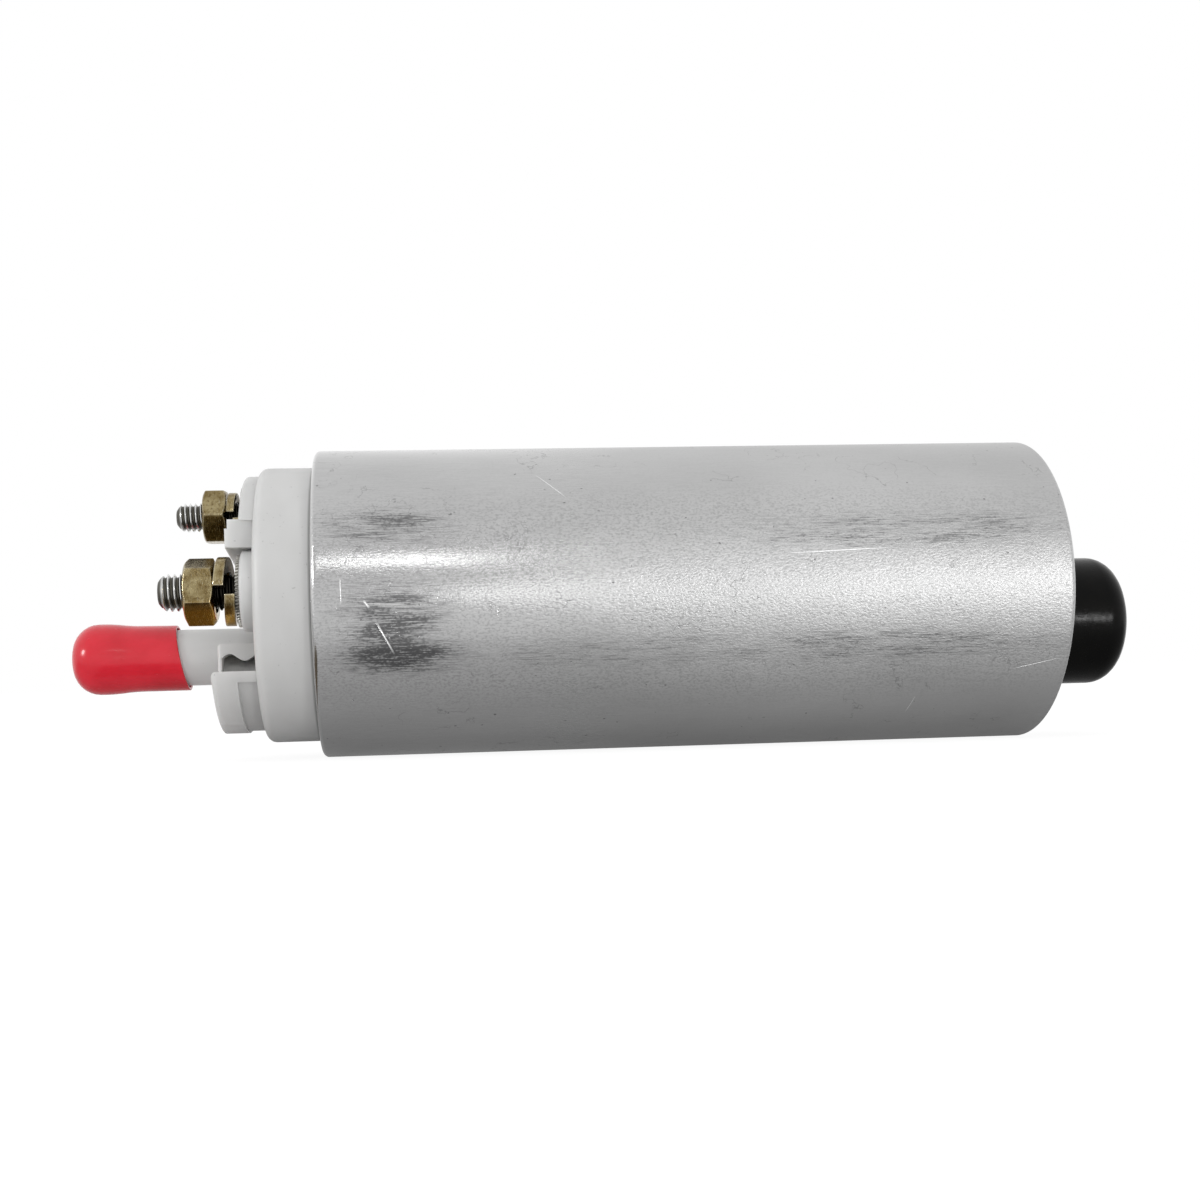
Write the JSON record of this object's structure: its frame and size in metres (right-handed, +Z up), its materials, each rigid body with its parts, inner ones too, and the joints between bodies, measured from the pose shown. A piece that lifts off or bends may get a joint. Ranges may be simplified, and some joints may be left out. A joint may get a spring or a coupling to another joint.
{
  "type": "electric fuel pump",
  "caption": "Round electric fuel pump: rolled aluminium can, white moulded outlet cover with stud terminals, red-capped outlet tube and offset black-capped inlet spigot.",
  "frame": {"origin": "on the can's axis, at the middle of the can's length", "axes": "+X along the can's axis from the outlet end to the inlet end, +Z up towards the smaller stud, +Y away from the larger stud"},
  "size_m": [0.1504, 0.043, 0.043],
  "materials": {
    "can": "satin",
    "white_moulding": "smooth",
    "terminal_stud": "plated",
    "yellow_plating": "yellow passivated",
    "washer_steel": "plated",
    "red_cap": "gloss",
    "black_cap": "gloss",
    "valve_steel": "polished",
    "valve_plastic": "smooth",
    "valve_brass": "turned",
    "relief_cup": "dark phosphated",
    "spring_steel": "drawn wire",
    "seal_rubber": "matte",
    "holder_moulding": "smooth",
    "carbon": "matte",
    "copper": "drawn",
    "commutator_copper": "turned",
    "shaft_steel": "ground",
    "core_steel": "stamped",
    "thrust_plastic": "smooth",
    "coupling_plastic": "smooth",
    "bush_bronze": "sintered",
    "flux_steel": "rolled",
    "magnet_ferrite": "sintered",
    "clip_steel": "blued",
    "pump_iron": "ground",
    "rotor_steel": "sintered",
    "screw_steel": "blackened",
    "inlet_casting": "cast",
    "spigot_tube": "turned",
    "strainer_steel": "etched"
  },
  "bodies": {
    "housing": {"can": "can", "outlet_cover": "white_moulding", "positive_stud": "terminal_stud", "negative_stud": "terminal_stud", "positive_nut": "yellow_plating", "positive_lock_washer": "yellow_plating", "negative_nut": "yellow_plating", "negative_lock_washer": "yellow_plating", "positive_serrated_washer": "washer_steel", "negative_serrated_washer": "washer_steel", "check_valve_seat": "valve_brass", "relief_valve_cup": "relief_cup", "check_valve_spring": "spring_steel", "relief_valve_spring": "spring_steel", "positive_brush_spring": "spring_steel", "negative_brush_spring": "spring_steel", "outlet_cover_seal": "seal_rubber", "inlet_cover_seal": "seal_rubber", "brush_holder": "holder_moulding", "positive_lead": "copper", "negative_lead": "copper", "positive_choke": "copper", "negative_choke": "copper", "outlet_bush": "bush_bronze", "inlet_bush": "bush_bronze", "flux_ring": "flux_steel", "upper_magnet": "magnet_ferrite", "lower_magnet": "magnet_ferrite", "magnet_clips": "clip_steel", "port_plate": "pump_iron", "rotor_ring": "pump_iron", "pump_screws": "screw_steel", "inlet_cover": "inlet_casting", "inlet_spigot": "spigot_tube", "inlet_strainer": "strainer_steel"},
    "armature": {"armature_shaft": "shaft_steel", "thrust_washer": "thrust_plastic", "commutator": "commutator_copper", "armature_core": "core_steel", "armature_windings": "copper", "drive_coupling": "coupling_plastic", "inner_rotor": "rotor_steel"},
    "outer_rotor": {"outer_rotor": "rotor_steel"},
    "positive_brush": {"positive_brush": "carbon"},
    "negative_brush": {"negative_brush": "carbon"},
    "check_valve": {"check_valve_poppet": "valve_plastic"},
    "relief_ball": {"relief_ball": "valve_steel"},
    "outlet_cap": {"outlet_cap": "red_cap"},
    "inlet_cap": {"inlet_cap": "black_cap"}
  },
  "joints": [
    {"name": "armature_spin", "type": "hinge", "parent": "housing", "child": "armature", "pos_m": [0, 0, 0], "axis": [1, 0, 0], "continuous": true},
    {"name": "outer_rotor_spin", "type": "hinge", "parent": "housing", "child": "outer_rotor", "pos_m": [0.0313, 0.0011, 0], "axis": [1, 0, 0], "continuous": true},
    {"name": "positive_brush_slide", "type": "slide", "parent": "housing", "child": "positive_brush", "axis": [0, -1, 0], "range_m": [0, 0.0015], "stiffness_N_per_m": 150, "springref_m": -0.003, "deforming": ["positive_brush_spring"]},
    {"name": "negative_brush_slide", "type": "slide", "parent": "housing", "child": "negative_brush", "axis": [0, 1, 0], "range_m": [0, 0.0015], "stiffness_N_per_m": 150, "springref_m": -0.003, "deforming": ["negative_brush_spring"]},
    {"name": "check_valve_lift", "type": "slide", "parent": "housing", "child": "check_valve", "axis": [-1, 0, 0], "range_m": [0, 0.0015], "stiffness_N_per_m": 200, "springref_m": -0.002, "deforming": ["check_valve_spring"]},
    {"name": "relief_ball_lift", "type": "slide", "parent": "housing", "child": "relief_ball", "axis": [-1, 0, 0], "range_m": [0, 0.0012], "stiffness_N_per_m": 1500, "springref_m": -0.0025, "deforming": ["relief_valve_spring"]},
    {"name": "outlet_cap_pull", "type": "slide", "parent": "housing", "child": "outlet_cap", "axis": [-1, 0, 0], "range_m": [0, 0.022]},
    {"name": "inlet_cap_pull", "type": "slide", "parent": "housing", "child": "inlet_cap", "axis": [1, 0, 0], "range_m": [0, 0.021]}
  ],
  "couplings": [
    {"joint": "outer_rotor_spin", "follows": "armature_spin", "ratio": 0.85714}
  ]
}
